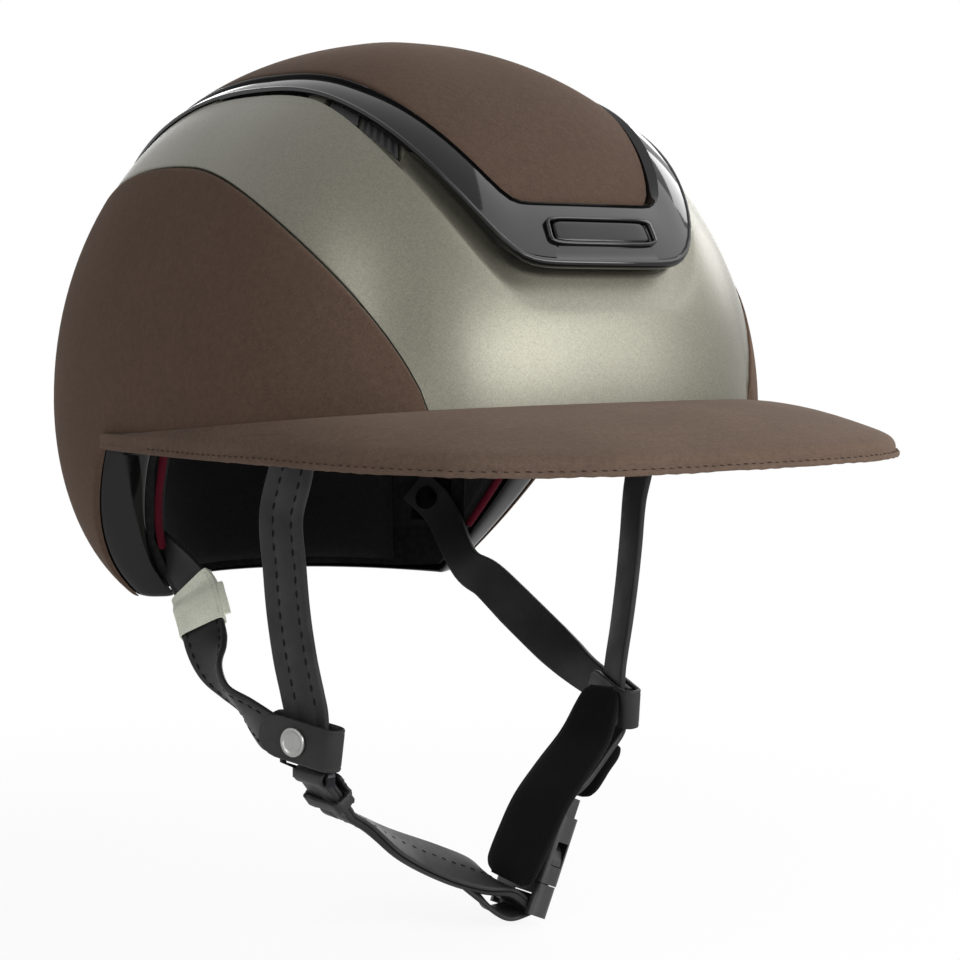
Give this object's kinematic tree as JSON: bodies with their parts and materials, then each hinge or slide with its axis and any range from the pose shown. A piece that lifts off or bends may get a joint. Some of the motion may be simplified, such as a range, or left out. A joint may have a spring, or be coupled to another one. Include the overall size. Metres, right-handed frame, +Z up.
{
  "type": "riding helmet",
  "caption": "Riding helmet with a wide suede peak, suede panels on a metallic shell, a gloss vent frame, and a leather harness with press studs, a chin pad and a side-release buckle.",
  "frame": {"origin": "where the head meets the helmet: on the plane of symmetry, halfway along the shell, level with the root of the peak at the ears", "axes": "the front faces -Y, +X is the wearer's left and +Z is up; the head goes in along +Z, so the head mount's axis is -Z"},
  "size_m": [0.2206, 0.352, 0.31],
  "materials": {
    "metallic_paint": "satin olive-grey metallic lacquer on a moulded shell",
    "suede": "dark brown suede with a short soft nap",
    "gloss_black": "polished black moulding",
    "matt_black": "matt black moulding",
    "soft_trim": "black soft-touch facing",
    "foam": "dark moulded bead foam",
    "pad_cloth": "black wicking cloth over soft foam",
    "piping": "crimson woven piping",
    "bright_steel": "brushed bright steel",
    "dark_metal": "black-coated steel, hidden or in shade",
    "strap_leather": "dark grey-black stitched leather",
    "label_tape": "pale woven tape, left bare",
    "buckle_black": "black buckle moulding"
  },
  "bodies": {
    "helmet": {"outer_shell": "metallic_paint", "side_cover_right": "suede", "side_cover_left": "suede", "crown_cover": "suede", "vent_frame": "gloss_black", "front_plate": "gloss_black", "vent_grilles": "matt_black", "edge_trim": "gloss_black", "brow_trim": "soft_trim", "foam_liner": "foam", "peak_board": "matt_black", "peak_top_cover": "suede", "peak_under_cover": "soft_trim", "brow_pad": "pad_cloth", "crown_pad": "pad_cloth", "rear_pad": "pad_cloth", "side_pads": "pad_cloth", "ear_pads": "pad_cloth", "liner_piping": "piping", "strap_anchors": "dark_metal", "strap_rivets": "dark_metal", "front_strap_right": "strap_leather", "front_strap_left": "strap_leather", "rear_strap_right": "strap_leather", "rear_strap_left": "strap_leather", "care_label": "label_tape", "divider_right": "strap_leather", "divider_left": "strap_leather", "stud_posts": "bright_steel", "chin_shackle": "dark_metal", "chin_pad": "pad_cloth", "chin_pad_flap": "pad_cloth", "buckle_socket": "buckle_black"},
    "flap_right": {"divider_flap_right": "strap_leather", "stud_cap_right": "bright_steel"},
    "flap_left": {"divider_flap_left": "strap_leather", "stud_cap_left": "bright_steel"},
    "chin": {"chin_strap": "strap_leather", "buckle_tongue": "buckle_black"},
    "keeper": {"strap_keeper": "strap_leather", "keeper_stud": "bright_steel"},
    "prong_front": {"buckle_prong_front": "buckle_black"},
    "prong_rear": {"buckle_prong_rear": "buckle_black"}
  },
  "joints": [
    {"name": "chin_strap_swing", "type": "hinge", "parent": "helmet", "child": "chin", "pos_m": [-0.0642, -0.064, -0.12], "axis": [0, 1, 0], "range_deg": [0, 80]},
    {"name": "flap_right_open", "type": "hinge", "parent": "helmet", "child": "flap_right", "pos_m": [-0.06684, -0.07751, -0.10934], "axis": [0.0453, -0.1316, 0.9903], "range_deg": [0, 85]},
    {"name": "flap_left_open", "type": "hinge", "parent": "helmet", "child": "flap_left", "pos_m": [0.06684, -0.07751, -0.10934], "axis": [0.0453, 0.1316, -0.9903], "range_deg": [0, 85]},
    {"name": "keeper_slide", "type": "slide", "parent": "chin", "child": "keeper", "axis": [0.5987, 0, -0.801], "range_m": [0, 0.004]},
    {"name": "prong_front_squeeze", "type": "hinge", "parent": "chin", "child": "prong_front", "pos_m": [0.02577, -0.0722, -0.16913], "axis": [-0.9179, 0, 0.3968], "range_deg": [0, 14], "stiffness_Nm_per_rad": 0.008},
    {"name": "prong_rear_squeeze", "type": "hinge", "parent": "chin", "child": "prong_rear", "pos_m": [0.02577, -0.0558, -0.16913], "axis": [0.9179, 0, -0.3968], "range_deg": [0, 14], "stiffness_Nm_per_rad": 0.008}
  ]
}
